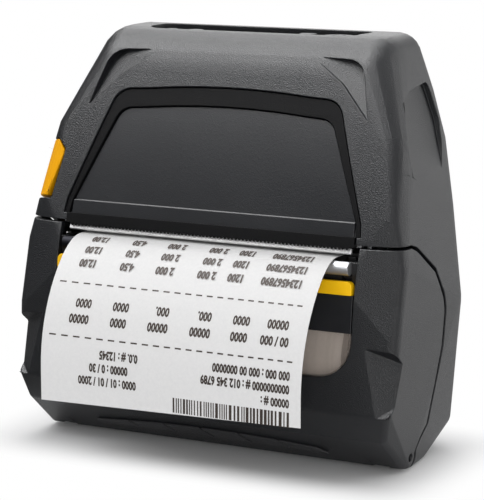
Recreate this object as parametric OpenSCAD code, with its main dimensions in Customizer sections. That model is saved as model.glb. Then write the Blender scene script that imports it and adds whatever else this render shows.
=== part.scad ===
// Portable label printer, standing on its lower edge with a printed slip out of its front.
// X runs to the right as seen from the front, Y to the back, Z up; millimetres.
// The origin lies on the surface it stands on, under the middle of the body.

/* [Body] */
// Greatest width of the body, low down on its sides
body_w = 160; // [157:0.5:162]
// Height of the body above the surface it stands on
body_h = 157; // [155:0.5:160]
// Distance from the origin back to the flat rear face
back_y = 37; // [36:0.5:39]
// Wall of the case and of the door
wall = 2.4; // [2.1:0.1:2.7]
// Lean of the upper front, in degrees
lean = 19.5; // [18.5:0.5:20.5]
// Where the front case meets the rear case
split_y = 32; // [31:0.5:32.5]
// Radius of the brow, where the leaning front rolls over into the top
brow_r = 20; // [18:0.5:21]
// Depth of the scoops in the front, at their deepest
scoop_depth = 3; // [2:0.1:3.4]
// Clearance round pieces that are set into the case
fit_gap = 0.3; // [0.2:0.05:0.4]

/* [Door] */
// Height of the door's shoulders
door_top = 84; // [83:0.5:84.5]
// Gap between the door and the case, over the door's shoulders
seam = 1; // [0.7:0.1:1.3]
// The same gap down the door's sides
side_seam = 1.6; // [1.2:0.1:2]
// Distance of the door's front from the origin, at the yellow strip
door_front = 29; // [28.5:0.1:29.5]
// Slope of the door's front, in degrees
door_slope = 6.5; // [6:0.25:7]
// Half width of the window opening
window_half = 62.5; // [62:0.1:63]
// Height of the lower edge of the window opening
window_z = 37.5; // [36:0.5:39]
// Radius of the window's lower corners
window_r = 13; // [10:0.5:15]
// Height of the hinge axis
hinge_z = 5.2; // [5:0.1:5.6]
// Radius of the hinge barrel
barrel_r = 4.2; // [4:0.1:4.4]
// Radius of the hinge pin
hinge_pin_r = 1.5; // [1.2:0.1:1.8]
// Clearance of a running fit, on the radius
running = 0.05; // [0.03:0.01:0.08]

/* [Print line] */
// Radius of the platen roller
platen_r = 6; // [5.6:0.1:6.2]
// Height of the platen's axis
platen_z = 74; // [73.6:0.1:74.4]
// Radius of the platen's shaft
shaft_r = 2.5; // [2:0.1:2.8]
// Width of the media
media_w = 108; // [106:0.5:108]
// Thickness of the printed slip
paper_t = 0.2; // [0.15:0.05:0.3]
// Gear module
gear_m = 0.8; // [0.75:0.01:0.82]
// Teeth on the platen's gear
platen_teeth = 16; // [16:1:16]
// Teeth on the idler
idler_teeth = 20; // [20:1:20]
// Teeth on the motor's pinion
pinion_teeth = 10; // [10:1:10]
// Radius of the motor
motor_r = 9; // [8:0.25:9.25]
// Length of the motor
motor_l = 18; // [14:0.5:22]
// Pitch of the teeth of the tear bar
tear_pitch = 1.5; // [1.2:0.1:2]

/* [Media] */
// Radius of the media roll
roll_r = 24; // [20:0.5:25]
// Outer radius of the core
core_r = 11.2; // [10.8:0.1:12]
// Wall of the core
core_wall = 1.6; // [1.2:0.1:2]
// Radius of the support discs
disc_r = 20; // [17:0.5:20]
// Radius of the rail that the discs slide on
rail_r = 1.8; // [1.5:0.1:2]

/* [Controls] */
// Width of the control panel's recess
panel_w = 90; // [88:0.5:91]
// Depth of the recess from front to back
panel_d = 16; // [15.5:0.1:16.5]
// How far a key stands above the panel
key_proud = 1; // [0.6:0.1:1.4]
// Travel of a key
key_travel = 0.8; // [0.5:0.1:1]

/* [Battery] */
// Width of the battery bay
bay_w = 102; // [98:0.5:103]
// Height of the battery bay
bay_h = 47; // [45:0.5:47]
// Depth of the battery bay
bay_d = 23; // [21:0.5:23.5]

/* [Hidden] */
half = body_w / 2;
far = 200;

// Colours
charcoal = [0.17, 0.18, 0.19];
graphite = [0.29, 0.29, 0.31];
black = [0.07, 0.07, 0.075];
yellow = [0.96, 0.72, 0.02];
steel = [0.78, 0.79, 0.8];
zinc = [0.6, 0.61, 0.62];
paper_white = [0.95, 0.95, 0.94];
board_green = [0.06, 0.3, 0.17];
brass = [0.85, 0.65, 0.3];

// The upper front is a plane that leans back; it starts at this height
plate_z = 92;
plate_y = -21.5;
function lean_y(z) = plate_y + (z - plate_z) * tan(lean);

// The door's front is a plane too, taken at the height of the yellow strip
strip_z = 70;
function door_y(z) = -door_front - (strip_z - z) * tan(door_slope);

// The chin is the plane that touches two of the form's balls, given as [y, z]
chin_low = [-10, 3];
chin_up = [-27, 17];
chin_r = 3;

// Balls whose hull is the outer form, as [x, y, z, radius]; each side has the same
function front_ball(z, inset, r) = [half - inset - r, lean_y(z) + r / cos(lean), z, r];
function door_ball(x, z, r) = [x, door_y(z) + r / cos(door_slope), z, r];
function rear_ball(z, inset, r) = [half - inset - r, back_y - r, z, r];
// The brow's balls lie along its arc, so that it is rounder from the side than at its corners
corner_r = 11;
corner_in = 16.7;
function brow_ball(up) = let (reach = brow_r - corner_r)
  [half - corner_in - corner_r, lean_y(body_h - brow_r) + brow_r / cos(lean) - reach * cos(up),
   body_h - brow_r + reach * sin(up), corner_r];
form_balls = [
  each [for (i = [0:4]) brow_ball(lean + (90 - lean) * i / 4)],
  front_ball(117, 6.1, 8),
  front_ball(plate_z, 3.3, 6),
  door_ball(58, strip_z, 4),
  door_ball(54, 26, 4),
  [half - 4.2, -19.5, 76, 4],
  [half - 4, -25.5, 52, 4],
  [half - 4.5, -29.7, 25.5, 3],
  [half - 6.4, chin_up[0], chin_up[1], chin_r],
  [half - 6, chin_low[0], chin_low[1], chin_r],
  rear_ball(body_h - 9, 17.7, 9),
  rear_ball(132, 11.5, 10),
  rear_ball(117, 7.1, 10),
  rear_ball(plate_z, 3.5, 10),
  rear_ball(58, 0, 9),
  rear_ball(12, 4.6, 6),
  [half - 7.5, 8, 3, 3]
];

// The outer form, drawn in by the given distance all over. A ball's facets lie inside its
// radius, so each is drawn larger and reaches its full radius along each axis.
ball_sides = 24;
module body_form(drawn_in = 0) {
  hull()
    for (b = form_balls, side = [-1, 1]) translate([side * b[0], b[1], b[2]])
      sphere(r = (b[3] - drawn_in) / cos(180 / ball_sides), $fn = ball_sides);
}

// Brings a shell's width to exactly the body's width
module full_width() resize([body_w, 0, 0]) children();

// Axes of the turning pieces, as [y, z]
hinge = [-9.5, hinge_z];
platen = [-17, platen_z];
roll = [3, 40];
latch = [-6, 90];
rail = [-3, 13.5];
head_pivot = [-9.5, 85.2];
// The idler lies behind the platen, on the line along which the door carries the platen away
door_arm = platen - hinge;
away = [door_arm[1], -door_arm[0]] / norm(door_arm);
mesh_gap = 0.12;
idler_angle = atan2(away[1], away[0]);
idler = platen + away * (gear_m * (platen_teeth + idler_teeth) / 2 + mesh_gap);
pinion_angle = 46;
pinion = idler + [cos(pinion_angle), sin(pinion_angle)]
  * (gear_m * (idler_teeth + pinion_teeth) / 2 + mesh_gap);

// Cross-widths from the centre outwards
media_half = media_w / 2;
platen_half = media_half + 1;
gear_x = 56.5;
gear_w = 3;
cheek_x = 60;
cheek_w = window_half - cheek_x;
boss_l = 7;
side_plate_x = 60.5;
side_plate_t = 2;
hook_x = 64.5;
hook_t = 2.5;

// Places an outline drawn in (y, z) and extrudes it along x, from x0 over the length l
module along_x(x0, l) translate([x0, 0, 0]) rotate([90, 0, 90]) linear_extrude(l) children();

// A rod along x about an axis given as [y, z]
module rod_x(axis, r, x0, l) translate([x0, axis[0], axis[1]]) rotate([0, 90, 0])
  cylinder(r = r, h = l, $fn = 48);

// The frame of the leaning front: x across, y up the slope, z out of the face
module on_plate() translate([0, plate_y, plate_z]) rotate([90 - lean, 0, 0]) children();

// The frame of the door's front: x across, y up, z out of the face
module on_door() translate([0, door_y(strip_z), strip_z]) rotate([90 - door_slope, 0, 0]) children();

// An outline with its corners rounded; each point is [x, y, radius]
function unit(v) = v / norm(v);
function corner(a, b, c, r, n) =
  let (u = unit(a - b), w = unit(c - b), bend = acos(u * w) / 2,
       centre = b + unit(u + w) * r / sin(bend), start = b + u * r / tan(bend) - centre,
       turn = (180 - 2 * bend) * sign(u[0] * w[1] - u[1] * w[0]))
  [for (i = [0:n]) let (t = turn * i / n)
    centre + [start[0] * cos(t) + start[1] * sin(t), start[1] * cos(t) - start[0] * sin(t)]];
function rounded(p, n = 6) = [for (i = [0:len(p) - 1])
  let (a = p[(i + len(p) - 1) % len(p)], b = p[i], c = p[(i + 1) % len(p)])
  each b[2] > 0 ? corner([a[0], a[1]], [b[0], b[1]], [c[0], c[1]], b[2], n) : [[b[0], b[1]]]];

// A rounded rectangle about the origin
module pill(w, h, r) polygon(rounded([[-w / 2, -h / 2, r], [w / 2, -h / 2, r],
  [w / 2, h / 2, r], [-w / 2, h / 2, r]]));

function arc(c, r, a0, a1, n) = [for (i = [0:n])
  let (a = a0 + (a1 - a0) * i / n) c + r * [cos(a), sin(a)]];

// Side view of the room that the door takes up, grown by g on the side of the case. Where it is
// grown, it also runs down through the case's floor, because the door's lip swings past there.
knee = [-0.4, 55.5];
knee_r = 14.2;
arc_r = barrel_r - 0.4;
function door_outline(g) = let (s = g > 0 ? side_seam : 0) concat(
  g > 0 ? [[hinge[0] + arc_r + 0.8, -2], [-far, -2]] : [[-far, hinge_z - arc_r]],
  [[-far, door_top + g], [-14.5 + g * 0.2, door_top + g], [-10 + s * 0.3, door_top - 1.7 + s * 0.8],
   [5.8 + s * 0.6, 72.1 + s * 0.8]],
  arc(knee, knee_r + s, 40, 0, 6),
  [[13.4 + s, 43], [7.2 + s, 23.1], [4.7 + s, 14.8 - g * 0.3], [-1.1 + g * 0.5, 11.2 - g * 0.85]],
  arc(hinge, arc_r + 1.5 * g, 20, g > 0 ? -42 : -90, 8));

// Outlines on the leaning front
plate_low = -4.6;
crown_r = 330;
function crown(w, v, n) = [for (q = arc([0, v - crown_r], crown_r, 90 - w, 90 + w, n)) [q[0], q[1], 0]];
plate_outline = rounded(concat([[-60.4, plate_low, 0], [60.4, plate_low, 0], [59.4, 1, 0],
  [44.4, 37.6, 7]], crown(5.8, 40.1, 6), [[-44.4, 37.6, 7], [-59.4, 1, 0]]));
bezel_grow = 2.1;
bezel_top = 47.3;
bezel_outline = rounded(concat([[-window_half, plate_low, 0], [window_half, plate_low, 0],
  [window_half - 0.8, 1, 0], [44.6 + bezel_grow, 44.8, 8]], crown(5.8, bezel_top, 6),
  [[-44.6 - bezel_grow, 44.8, 8], [-window_half + 0.8, 1, 0]]));
crescent = rounded([[32, 61.2, 0], [52.8, 60.4, 8], [58.6, 37.8, 0], [46.4, 51.2, 12]]);

// The scoops in the front: sharp at their outer edge, running out towards the plate. Their
// floor lies a little under the plane of the front, which the brow has left by there.
scoop_lead = 0.6;
// Behind each the wall is thicker, grown by the given distance round the scoop.
module scoop_back(grow) translate([0, 0, -scoop_depth - wall]) linear_extrude(scoop_depth + wall)
  translate([45.5, 53.5]) scale(1 + grow / 13) translate([-45.5, -53.5]) polygon(crescent);
module front_scoop() intersection() {
  translate([0, 0, -5]) linear_extrude(30) polygon(crescent);
  translate([34, 60.2, -scoop_lead]) rotate([0, 0, -43]) rotate([-atan(scoop_depth / 12), 0, 0])
    translate([-far, -8, 0]) cube([2 * far, far, far]);
}

// The scoops in the sides: deepest along their rear edge, running out downwards
side_scoop = rounded([[-6, 108, 0], [20, 99, 4], [27, 126, 6], [25.5, 139.5, 2], [9, 137.5, 4],
  [1.5, 134, 4], [-6, 118, 6]]);
module body_scoop() intersection() {
  along_x(50, 60) polygon(side_scoop);
  translate([half - 3.8, 3, 104]) rotate([0, -18, 0]) rotate([0, 0, 1])
    translate([0, -far, -far]) cube([far, 2 * far, 2 * far]);
}
bezel_face = -0.6;
plate_face = -1.6;
plate_t = 2;
tray_t = 0.8;
tray_back = plate_face - plate_t - tray_t;
tear_low = -8.4;
tear_half = side_plate_x;

// Room for the upper recess, the control panel's place
panel_y = 19;
panel_z = body_h - wall;
panel_r = 5;
module panel_room(grow, z0, h)
  translate([0, panel_y, z0]) linear_extrude(h)
    pill(panel_w + 2 * grow, panel_d + 2 * grow, panel_r + grow);

// The yellow lever fills a notch in the left front edge and turns about a pin near its top.
// Its outline is drawn on the leaning front, the lever grown by g and its swing by swing.
lever_pin = [15.4 - half, 18.6];
lever_pin_r = 1;
lever_deep = 11.5;
lever_swing = 1.5;
function lever_outline(g, swing) = [[-far, 1.6 - g - swing / 2], [9.1 - half + g + swing, 1.6 - g - swing / 2],
  [13.7 - half + g, 18], [13.7 - half + g, 19.6 + g], [10.4 - half, 23.6 + g], [-far, 23.6 + g]];

// Battery bay, in the rear case
bay_z = 122.5;
bay_wall = 1.6;
bay_floor = back_y - bay_d;
module bay_box(grow, y0) translate([-bay_w / 2 - grow, y0, bay_z - bay_h / 2 - grow])
  cube([bay_w + 2 * grow, far, bay_h + 2 * grow]);

// Ports, low on the back
port_z = 18;
port_h = 10.8;
port_w = 34;
port_x = -33;
port_recess = 1.6;
flap_t = 1.4;
flap_axis_z = port_z - port_h / 2 + fit_gap + flap_t / 2;
jack_x = port_x - 9;
usb_x = port_x + 8;
jack_hole_r = 2.75;

// Belt clip's socket in the back
clip_z = 78;
clip_r = 4;
clip_depth = 5.4;

// Screws in the back, as [x, z]
screw_at = [[-66, 30], [66, 30], [-51, 89], [51, 89]];
screw_r = 1.4;
screw_l = 14;
screw_head_r = 3;
screw_head_t = 1.4;

// Keys on the panel, as x across and y from the panel's middle
power_x = 6.5 - panel_w / 2;
feed_x = power_x + 10.5;
lcd_x = -5;
lcd_w = panel_w - 56;
lcd_h = 11.4;
nav_x = panel_w / 2 - 12;
soft_x = nav_x - 14.4;
soft_dy = 3.9;
soft_w = 6.4;
soft_h = 4.2;
nav_r = 6.6;
select_r = 2.7;
power_r = 2.9;
feed_r = 3.7;

// Rubber feet and dock contacts
foot_x = 45;
foot_w = 18;
foot_y = 14.5;
foot_d = 8.5;
contact_pitch = 6;
contact_w = 3;
contact_y = 1;
contact_d = 6;

module dock_pads(grow) for (i = [-1.5:1:1.5])
  translate([i * contact_pitch - contact_w / 2 - grow, contact_y - grow, -1])
    cube([contact_w + 2 * grow, contact_d + 2 * grow, wall + 3]);

module mirrored() {
  children();
  mirror([1, 0, 0]) children();
}

// Places of the case's inner ribs
frame_rib_y = 6;
frame_rib_d = 8;
frame_rib_z = 86;
frame_top = 96.5;
frame_t = 2;
frame_back = 30;
tub_r = 29;
tub_in = 27;

module front_case() color(charcoal) difference() {
  union() {
    full_width() difference() {
      intersection() {
        body_form();
        union() {
          difference() {
            translate([-far, -far, -1]) cube([2 * far, far + split_y, far]);
            body_form(wall);
          }
          // ribs that carry the mechanism's side plates
          mirrored() translate([side_plate_x + side_plate_t, frame_rib_y, frame_rib_z])
            cube([far, frame_rib_d, 6]);
          on_plate() mirrored() scoop_back(wall);
          // posts under the media bay
          mirrored() difference() {
            translate([26, -1, 1]) cube([4, 8, 14]);
            rod_x(roll, tub_r + fit_gap, 0, far);
          }
          // blocks that the back is screwed to
          mirrored() for (s = screw_at) if (s[0] > 0)
            translate([s[0] - 4, back_y - 16, s[1] - 4]) cube([far, 7.9, 8]);
          // block behind the lever that takes the end of its pin
          on_plate() translate([lever_pin[0] - 17, lever_pin[1] - 3.5, -lever_deep - 2.8])
            cube([20, 7, 2.2]);
        }
      }
      along_x(-far, 2 * far) polygon(door_outline(seam));
      on_plate() translate([0, 0, -20]) linear_extrude(60) {
        polygon(bezel_outline);
        // room for the tear bar below it
        translate([-tear_half - fit_gap, plate_low - 12]) square([2 * (tear_half + fit_gap), 12]);
      }
      panel_room(0, panel_z - 6, 20);
      on_plate() mirrored() front_scoop();
      mirrored() body_scoop();
      on_plate() translate([0, 0, -lever_deep - 0.4]) linear_extrude(60)
        polygon(lever_outline(0.4, lever_swing));
      dock_pads(0);
      mirrored() rod_x(hinge, barrel_r + 1, barrel_half - 3, lug_t + 3.2);
    }
    // lugs that hold the hinge pin, beside the door's barrel
    mirrored() {
      rod_x(hinge, barrel_r, barrel_half + fit_gap, lug_t);
      translate([barrel_half + fit_gap, hinge[0], 1.2]) cube([lug_t, 10, 7]);
    }
  }
  rod_x(hinge, hinge_pin_r, -far, 2 * far);
  on_plate() translate([lever_pin[0], lever_pin[1], -lever_deep - 4])
    cylinder(r = lever_pin_r, h = lever_deep + 2.6, $fn = 32);
  for (s = screw_at) translate([s[0], back_y - screw_l, s[1]]) rotate([-90, 0, 0])
    cylinder(r = screw_r, h = far, $fn = 32);
}
barrel_half = 64;
lug_t = 5;

// The stand-offs of the main board reach furthest in, the flat back furthest out
module full_depth() resize([0, back_y - board_y - board_t, 0]) children();

module rear_case() color(graphite) difference() {
  full_depth() difference() {
    union() {
      intersection() {
        body_form();
        union() {
          difference() {
            translate([-far, split_y, -1]) cube([2 * far, far, far]);
            body_form(wall);
          }
          // shelves that the mechanism's top plate is screwed to
          mirrored() translate([34, frame_back, 86]) cube([10, far, frame_top - 86]);
          // ribs behind the media bay
          mirrored() difference() {
            translate([18, 24, 32]) cube([4, far, 18]);
            rod_x(roll, tub_r + fit_gap, 0, far);
          }
          // boss of the belt clip's socket
          translate([0, back_y - clip_depth - 1.2, clip_z]) rotate([-90, 0, 0])
            cylinder(r = clip_r + 3, h = far, $fn = 48);
          // screw bosses
          for (s = screw_at) translate([s[0], back_y - 8, s[1]]) rotate([-90, 0, 0])
            cylinder(r = 3.6, h = far, $fn = 32);
          // stand-offs of the port board
          for (x = [port_x - 16, port_x + 16]) translate([x - 1.5, 29, 12]) cube([3, far, 5]);
        }
      }
      difference() {
        bay_box(bay_wall, bay_floor - bay_wall);
        translate([-far, back_y - 2, 0]) cube([2 * far, far, far]);
      }
      // stand-offs of the main board and of the keypad board
      for (x = [-44, 44], z = [-19, 19]) translate([x, board_y + board_t, bay_z + z])
        rotate([-90, 0, 0]) cylinder(r = 2.5, h = bay_floor - bay_wall - board_y - board_t + 0.5, $fn = 32);
      for (x = [-40, 40], y = [-5, 5]) translate([x, panel_y + y, bay_z + bay_h / 2 + bay_wall - 0.5])
        cylinder(r = 2.5, h = keypad_z - bay_z - bay_h / 2 - bay_wall + 0.5, $fn = 32);
    }
    bay_box(0, bay_floor);
    translate([port_x - port_w / 2, back_y - port_recess, port_z - port_h / 2])
      cube([port_w, 10, port_h]);
    translate([usb_x - 4.6, 20, port_z - 2.2]) cube([9.2, 20, 4.4]);
  }
  translate([0, back_y - clip_depth, clip_z]) rotate([-90, 0, 0]) cylinder(r = clip_r, h = 20, $fn = 48);
  for (s = screw_at) translate([s[0], back_y, s[1]]) rotate([-90, 0, 0]) {
    translate([0, 0, -screw_l]) cylinder(r = screw_r, h = far, $fn = 32);
    translate([0, 0, -screw_head_t]) cylinder(r = screw_head_r, h = far, $fn = 32);
  }
  translate([jack_x, 20, port_z]) rotate([-90, 0, 0]) cylinder(r = 4, h = 20, $fn = 32);
}
board_y = 8.4;
board_t = 1.6;
keypad_z = body_h - 6;
keypad_t = 1.6;

// Tray behind the name plate, with a raised dark rim
// Its outline is drawn in at the sides and the top, so that it drops into the opening
module bezel() color(black) on_plate() difference() {
  translate([0, 0, tray_back]) linear_extrude(bezel_face - tray_back)
    polygon([for (q = bezel_outline) [q[0] * (1 - fit_gap / window_half), q[1] > 0 ? q[1] - fit_gap : q[1]]]);
  translate([0, 0, plate_face - plate_t]) linear_extrude(20) polygon(plate_outline);
}

// Its lower band stands a little proud of the panel
band_half = 59.3;
band_h = 5.4;
band_proud = 0.7;
module name_plate() color(charcoal) on_plate() {
  translate([0, 0, plate_face - plate_t]) linear_extrude(plate_t) scale(0.996) polygon(plate_outline);
  translate([-band_half, plate_low, plate_face - plate_t])
    cube([2 * band_half, band_h, plate_t + band_proud]);
}

module tear_bar() color(black) on_plate() {
  translate([-tear_half, tear_low, -2.6]) cube([2 * tear_half, plate_low - tear_low, 3.2]);
  teeth = floor((tear_half * 2 - 4) / tear_pitch);
  saw = [for (i = [0:teeth - 1]) each [[(i - teeth / 2) * tear_pitch, tear_low],
    [(i - teeth / 2 + 0.5) * tear_pitch, tear_low - 1.1]]];
  translate([0, 0, -0.5]) linear_extrude(1.1) polygon(concat(
    [[teeth / 2 * tear_pitch, tear_low + 0.5], [-teeth / 2 * tear_pitch, tear_low + 0.5]],
    saw, [[teeth / 2 * tear_pitch, tear_low]]));
}

module exit_strip() color(steel) on_plate()
  translate([-band_half, tear_low - 2.2, -2.3]) cube([2 * band_half, 2.2, 1.6]);

// Side plates and top plate of the print mechanism
module mech_frame() color(zinc) {
  mirrored() difference() {
    along_x(side_plate_x, side_plate_t) polygon([[-22.3, 84], [-22.3, 86], [-18.5, 86],
      [-14.9, frame_top], [20, frame_top], [20, 84], [12, 66], [-8, 66], [-8, 80.5], [-13, 80.5], [-13, 84]]);
    rod_x(latch, latch_r + running, 0, far);
    rod_x(head_pivot, head_pin_r + running, 0, far);
    rod_x(idler, post_r, 0, far);
  }
  difference() {
    translate([-side_plate_x - side_plate_t, -14.9, frame_top - frame_t])
      cube([2 * (side_plate_x + side_plate_t), frame_back + 14.9, frame_t]);
    for (x = [-40, 0, 40]) translate([x, 18, 0]) cylinder(r = 5, h = far, $fn = 32);
  }
}
latch_r = 2;
head_pin_r = 1.5;
post_r = 2;

nip_z = platen_z + platen_r + 0.3 + paper_t;
head_z = nip_z + 0.4;
ceramic_t = 1;
module printhead() color([0.86, 0.86, 0.83])
  translate([-media_half, -19.4, head_z]) cube([media_w, 10.8, ceramic_t]);

sink_z = head_z + ceramic_t;
sink_h = 5.2;
module heat_sink() color(zinc) {
  difference() {
    translate([-media_half, -17.4, sink_z]) cube([media_w, 9.4, sink_h]);
    for (i = [-16:1:16]) translate([i * 3.2 - 0.8, -16.4, sink_z + 1.8]) cube([1.6, 4.4, 10]);
  }
  mirrored() rod_x(head_pivot, head_pin_r, media_half - 1, side_plate_x + side_plate_t - media_half);
}

// Leaf springs that press the head down, hung from the top plate
spring_gap = 0.7;
module head_springs() color(steel) for (x = [-30, 30])
  along_x(x - 5, 10) polygon([[-10.6, frame_top - frame_t], [-9.9, frame_top - frame_t],
    [-9.9, sink_z + sink_h + spring_gap], [-16.4, sink_z + sink_h + spring_gap],
    [-16.4, sink_z + sink_h + spring_gap + 0.7], [-10.6, sink_z + sink_h + spring_gap + 0.7]]);

motor_face = 53.8;
motor_plate_t = 1.6;
motor_shaft_r = 1.2;
module motor() color(zinc) difference() {
  union() {
    rod_x(pinion, motor_r, motor_face - motor_l, motor_l);
    rod_x(pinion, 3, motor_face - 0.5, motor_plate_t + 0.5);
  }
  rod_x(pinion, motor_shaft_r + running, motor_face - 6, far);
}

module motor_plate() color(steel) difference() {
  translate([motor_face, pinion[0] - motor_r, pinion[1] - motor_r - 1])
    cube([motor_plate_t, 2 * motor_r + 2, frame_top - frame_t - pinion[1] + motor_r + 1]);
  rod_x(pinion, 3, 0, far);
}

// A spur gear's outline with straight-sided teeth; a tooth points along x
module gear_outline(teeth, bore) {
  r = gear_m * teeth / 2;
  step = 360 / teeth;
  difference() {
    polygon([for (i = [0:teeth - 1]) each [
      for (k = [[-0.33, -1.15], [-0.11, 0.85], [0.11, 0.85], [0.33, -1.15]])
        (r + k[1] * gear_m) * [cos((i + k[0]) * step), sin((i + k[0]) * step)]]]);
    circle(r = bore, $fn = 32);
  }
}

module gear_at(axis, teeth, bore, angle)
  translate([gear_x, axis[0], axis[1]]) rotate([90, 0, 90]) rotate([0, 0, angle])
    linear_extrude(gear_w) gear_outline(teeth, bore);

idler_phase = idler_angle + 180 + 180 / idler_teeth;
pinion_lag = (pinion_angle - idler_phase) * idler_teeth / pinion_teeth;
pinion_phase = pinion_angle + 180 + pinion_lag + 180 / pinion_teeth;

module platen_gear() color([0.9, 0.9, 0.86])
  gear_at(platen, platen_teeth, shaft_r, idler_angle);
module idler_gear() color([0.9, 0.9, 0.86])
  gear_at(idler, idler_teeth, post_r + running, idler_phase);
module motor_pinion() color(brass) {
  gear_at(pinion, pinion_teeth, motor_shaft_r, pinion_phase);
  rod_x(pinion, motor_shaft_r, motor_face - 5, gear_x + gear_w + 0.6 - motor_face + 5);
}
module idler_post() color(steel)
  rod_x(idler, post_r, gear_x - 0.5, side_plate_x + side_plate_t - gear_x + 0.5);

module latch_shaft() color(steel)
  rod_x(latch, latch_r, -hook_x - hook_t, 2 * (hook_x + hook_t));

// Hook over the platen's bearing boss; its nose ends just above the boss
boss_r = 4.5;
hook_gap = 0.4;
module hook(x0) color(steel) difference() {
  along_x(x0, hook_t) {
    nose = platen_z + boss_r + hook_gap;
    polygon([latch + [-3.5, 2.5], [-19.5, nose + 3.6], [-19.5, nose], [-13, nose],
      [-12, nose + 2.2], latch + [1.5, -4]]);
    translate(latch) circle(r = 4.3, $fn = 40);
  }
  rod_x(latch, latch_r, -far, 2 * far);
}
module hook_left() hook(-hook_x - hook_t);
module hook_right() hook(hook_x);

module latch_lever() color(yellow) difference() {
  union() {
    intersection() {
      body_form(0.15);
      on_plate() translate([0, 0, -lever_deep]) linear_extrude(60) polygon(lever_outline(0, 0));
    }
    on_plate() translate([lever_pin[0] - 3, lever_pin[1] - 2.4, -lever_deep])
      cube([5.2, 4.8, lever_deep - wall - 1.2]);
  }
  on_plate() translate([lever_pin[0], lever_pin[1], -far / 2])
    cylinder(r = lever_pin_r + running, h = far, $fn = 32);
}

module latch_pin() color(steel) on_plate() translate([lever_pin[0], lever_pin[1], -lever_deep - 2.6])
  cylinder(r = lever_pin_r, h = lever_deep + 1.2, $fn = 32);

module hinge_pin() color(steel)
  rod_x(hinge, hinge_pin_r, -barrel_half - fit_gap - lug_t, 2 * (barrel_half + fit_gap + lug_t));

// Finger grip cut into each front edge of the door, grown by g. Its floor is a plane that runs
// out towards the window, and a ramp closes it above and below.
grip_turn = 37;
module grip_room(g) mirrored() intersection() {
  along_x(half - 22, far) polygon([[-far, 49.5 + g], [-31, 49.5 + g], [-22.6 + g, 43 + g],
    [-27.6 + g, 28.5 - g], [-33.2, 24.5 - g], [-far, 24.5 - g]]);
  translate([half, -25, 36]) rotate([0, 0, grip_turn]) rotate([-12, 0, 0])
    translate([-far, g - far, -far]) cube([2 * far, far, 2 * far]);
}

module window_room(g, low) polygon(rounded([[-window_half + g, low + g, window_r],
  [window_half - g, low + g, window_r], [window_half - g, 120, 0], [-window_half + g, 120, 0]], 8));

module door_shell() color(charcoal) difference() {
  union() {
    full_width() difference() {
      intersection() {
        body_form();
        union() {
          difference() {
            translate([-far, -far, -1]) cube([2 * far, 2 * far, far]);
            body_form(wall);
          }
          grip_room(wall);
          // posts that carry the inner frame
          mirrored() translate([cheek_x + cheek_w, -24, 61.5]) cube([far, 9, 3.5]);
        }
        along_x(-far, 2 * far) polygon(door_outline(0));
      }
      rotate([90, 0, 0]) linear_extrude(far) window_room(0, window_z);
      grip_room(0);
      mirrored() rod_x(hinge, barrel_r + 1, barrel_half, lug_t + 1.3);
    }
    rod_x(hinge, barrel_r, -barrel_half, 2 * barrel_half);
  }
  rod_x(hinge, hinge_pin_r + running, -far, 2 * far);
}

chin_turn = 90 + atan2(chin_low[0] - chin_up[0], chin_up[1] - chin_low[1]);
module on_chin() translate([0, chin_low[0], chin_low[1]]) rotate([chin_turn, 0, 0])
  translate([0, 0, chin_r]) children();

// Soft ribs in a row on the chin, parted by slanted gaps
fins = 6;
fin_pitch = 16;
fin_gap = 1.4;
fin_slant = 4;
fin_low = 8.5;
fin_lift = 0.04;
fin_t = 0.9;
function fin_top(x) = fin_low + 2.6 + 4.6 * (1 - pow(x / 50, 2));
module door_pads() color(black) on_chin() for (i = [0:fins - 1]) {
  x0 = (i - fins / 2) * fin_pitch + fin_slant / 2;
  x1 = x0 + fin_pitch - fin_gap;
  translate([0, 0, fin_lift]) linear_extrude(fin_t) polygon([[x0, fin_low], [x1, fin_low],
    [x1 - fin_slant, fin_top(x1 - fin_slant)], [x0 - fin_slant, fin_top(x0 - fin_slant)]]);
}

// Inner frame of the door: two cheeks with the bearings, and the beam between them
module door_frame() color(black) difference() {
  union() {
    mirrored() {
      along_x(cheek_x, cheek_w) polygon([[-26.6, 61.5], [-26.6, 66], [-25.2, 67.2], [-25.2, 79],
        [-10, 79], [-10, 66], [-15, 61.5]]);
      rod_x(platen, boss_r, cheek_x, boss_l);
    }
    translate([-cheek_x - 1, -26.6, 61.5]) cube([2 * cheek_x + 2, 11.6, 3.5]);
  }
  rod_x(platen, bearing_r, -far, 2 * far);
}
bearing_r = 3.75;
bearing_l = 6;
module bearing(x0) color(brass) difference() {
  rod_x(platen, bearing_r, x0, bearing_l);
  rod_x(platen, shaft_r + running, -far, 2 * far);
}
module bearing_left() bearing(-cheek_x - bearing_l);
module bearing_right() bearing(cheek_x);

window_t = 1.6;
window_out = -0.7;
label_low = -16;
module door_window() color([0.25, 0.23, 0.22, 0.45]) on_door()
  translate([0, 0, window_out - window_t]) linear_extrude(window_t) intersection() {
    window_room(fit_gap, (window_z - strip_z) / cos(door_slope) + (window_t - window_out) * tan(door_slope));
    translate([-far, -far]) square([2 * far, far + label_low]);
  }

module door_label() color(black) on_door() translate([0, 0, -2.4]) linear_extrude(2)
  translate([-window_half + fit_gap, label_low]) square([2 * (window_half - fit_gap), strip_low - label_low]);
strip_low = -2.4;
strip_h = 5;

module yellow_strip() color(yellow) on_door() translate([0, strip_low, -3]) linear_extrude(3.3)
  polygon(rounded([[-61.8, 0, 0], [61.8, 0, 0], [61.8, strip_h, 2], [-61.8, strip_h, 2]]));

peel = [-26.4, 76.8];
peel_r = 2.5;
module peel_bar() color(steel) rod_x(peel, peel_r, -cheek_x, 2 * cheek_x);

module platen_shaft() color(steel) rod_x(platen, shaft_r, -cheek_x - bearing_l, 2 * (cheek_x + bearing_l));
module platen_rubber() color([0.12, 0.12, 0.12]) difference() {
  rod_x(platen, platen_r, -platen_half, 2 * platen_half);
  rod_x(platen, shaft_r, -far, 2 * far);
}

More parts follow.
